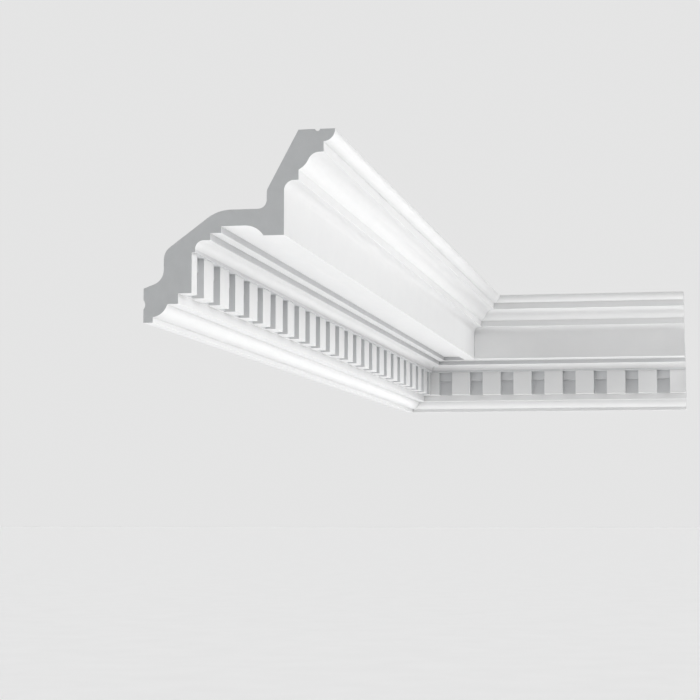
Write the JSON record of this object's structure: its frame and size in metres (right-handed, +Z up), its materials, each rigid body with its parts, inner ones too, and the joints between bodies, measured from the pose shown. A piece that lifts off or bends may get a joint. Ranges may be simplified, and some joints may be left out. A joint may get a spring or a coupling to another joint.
{
  "type": "dentil coving corner",
  "caption": "Dentil coving turning an inside corner: a long and a short mitred length with ogee crown, plain corona, coved bed, row of square dentils, hollow back and glue grooves.",
  "frame": {"origin": "on the long run's ceiling face, halfway along its wall and in the middle of the plain strip between the hollow back and the glue groove", "axes": "+X out from the left wall and along the return run, +Y towards the far wall and along the long run, +Z up at the ceiling; the ceiling plane is Z = 0, the left wall is X = -0.13195 and the far wall Y = 0.575"},
  "size_m": [0.4031, 1.15, 0.15],
  "materials": {
    "primed_foam": "factory primed, matt white"
  },
  "bodies": {
    "root": {"long_run": "primed_foam", "return_run": "primed_foam"}
  },
  "joints": []
}
